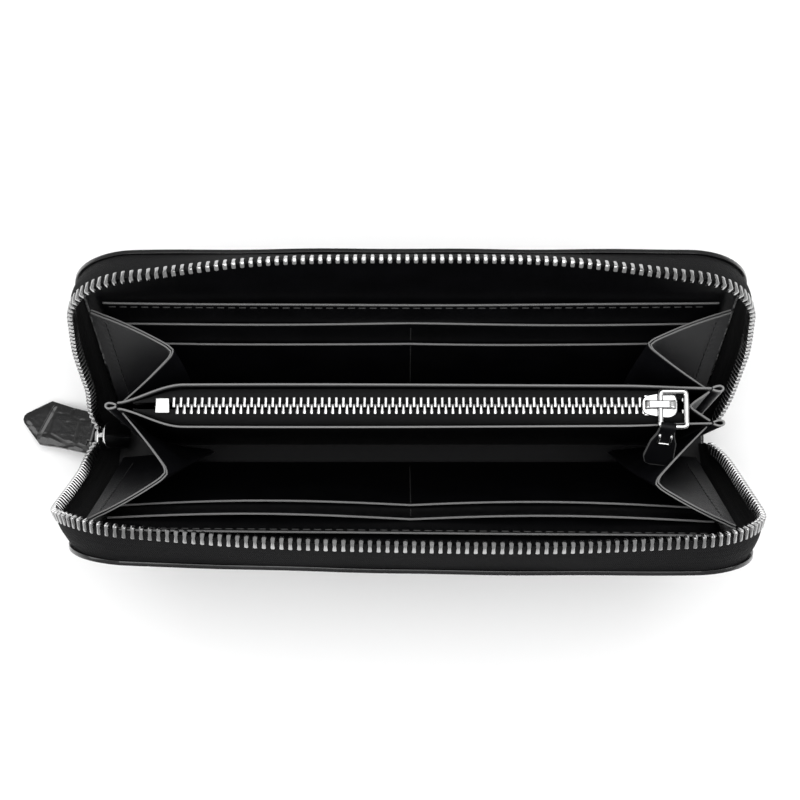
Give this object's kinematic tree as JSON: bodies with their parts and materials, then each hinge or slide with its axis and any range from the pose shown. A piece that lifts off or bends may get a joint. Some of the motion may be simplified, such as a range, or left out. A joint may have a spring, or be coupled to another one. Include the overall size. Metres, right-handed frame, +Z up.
{
  "type": "long wallet",
  "caption": "Long zip-around wallet standing open on its spine: covers with card slots, a zipped coin compartment, side gussets, metal zips with a leather puller.",
  "frame": {"origin": "centre of the spine's flat underside, on the surface the wallet stands on", "axes": "+X along the wallet's length, away from the parked main slider; +Y towards the rear cover; +Z up"},
  "size_m": [0.2284, 0.0911, 0.1024],
  "materials": {
    "croc_leather": "glossy crocodile-embossed black leather",
    "smooth_leather": "smooth black leather, satin",
    "lining_leather": "smooth thin black lining leather",
    "edge_paint": "bound and painted black leather edge",
    "board": "bonded fibre stiffener",
    "zip_tape": "black herringbone-woven tape",
    "zip_metal": "bright polished nickel",
    "thread": "black waxed thread"
  },
  "bodies": {
    "spine": {"coin_base": "smooth_leather", "coin_end_bindings": "edge_paint", "coin_end_gusset": "smooth_leather", "coin_wall_front": "smooth_leather", "coin_wall_rear": "smooth_leather", "coin_zip_end_box": "zip_metal", "coin_zip_stops": "zip_metal", "coin_zip_tape_front": "zip_tape", "coin_zip_tape_rear": "zip_tape", "coin_zip_teeth_front": "zip_metal", "coin_zip_teeth_rear": "zip_metal", "gusset_front_left": "smooth_leather", "gusset_front_right": "smooth_leather", "gusset_rear_left": "smooth_leather", "gusset_rear_right": "smooth_leather", "spine_board": "board", "spine_leather": "croc_leather", "spine_lining": "lining_leather"},
    "rear_cover": {"rear_bill_panel": "smooth_leather", "rear_card_strip_lower": "smooth_leather", "rear_card_strip_upper": "smooth_leather", "rear_cover_board": "board", "rear_cover_leather": "croc_leather", "rear_cover_lining": "lining_leather", "rear_divider_stitches": "thread", "rear_panel_stitches": "thread", "rear_zip_stop": "zip_metal", "rear_zip_tape": "zip_tape", "rear_zip_teeth": "zip_metal"},
    "front_cover": {"front_bill_panel": "smooth_leather", "front_card_strip_lower": "smooth_leather", "front_card_strip_upper": "smooth_leather", "front_cover_board": "board", "front_cover_leather": "croc_leather", "front_cover_lining": "lining_leather", "front_divider_stitches": "thread", "front_panel_stitches": "thread", "front_zip_stop": "zip_metal", "front_zip_tape": "zip_tape", "front_zip_teeth": "zip_metal"},
    "main_slider": {"main_slider": "zip_metal"},
    "main_pull_ring": {"main_pull_ring": "zip_metal"},
    "main_puller": {"main_puller_leather": "croc_leather"},
    "coin_slider": {"coin_slider": "zip_metal"},
    "coin_pull_ring": {"coin_pull_ring": "zip_metal"},
    "coin_tab": {"coin_tab_leather": "smooth_leather", "coin_tab_staple": "zip_metal"}
  },
  "joints": [
    {"name": "rear_cover_fold", "type": "hinge", "parent": "spine", "child": "rear_cover", "pos_m": [0, 0.0094, 0.002], "axis": [1, 0, 0], "range_deg": [-12, 19], "deforming": ["rear_zip_tape", "rear_zip_teeth", "rear_zip_stop", "gusset_rear_left", "gusset_rear_right"]},
    {"name": "front_cover_fold", "type": "hinge", "parent": "spine", "child": "front_cover", "pos_m": [0, -0.0094, 0.002], "axis": [-1, 0, 0], "range_deg": [-12, 22], "deforming": ["front_zip_tape", "front_zip_teeth", "front_zip_stop", "gusset_front_left", "gusset_front_right"]},
    {"name": "main_slider_run", "type": "slide", "parent": "spine", "child": "main_slider", "axis": [0, 0, 1], "range_m": [0, 0.055]},
    {"name": "main_ring_swing", "type": "hinge", "parent": "main_slider", "child": "main_pull_ring", "pos_m": [-0.09918, 0, 0.00952], "axis": [-0.2487, -0.9686, 0], "range_deg": [-12, 20]},
    {"name": "main_puller_swing", "type": "hinge", "parent": "main_pull_ring", "child": "main_puller", "pos_m": [-0.10385, 0.0012, 0.00819], "axis": [-0.2487, -0.9686, 0], "range_deg": [-40, 60]},
    {"name": "coin_slider_run", "type": "slide", "parent": "spine", "child": "coin_slider", "axis": [-1, 0, 0], "range_m": [0, 0.135], "deforming": ["coin_zip_teeth_rear", "coin_zip_teeth_front"]},
    {"name": "coin_ring_flip", "type": "hinge", "parent": "coin_slider", "child": "coin_pull_ring", "pos_m": [0.0713, -0.00031, 0.08185], "axis": [0, -1, 0], "range_deg": [0, 170]},
    {"name": "coin_tab_swing", "type": "hinge", "parent": "coin_pull_ring", "child": "coin_tab", "pos_m": [0.0733, -0.00541, 0.08185], "axis": [-1, 0, 0], "range_deg": [0, 110], "deforming": ["coin_tab_leather", "coin_tab_staple"]}
  ]
}
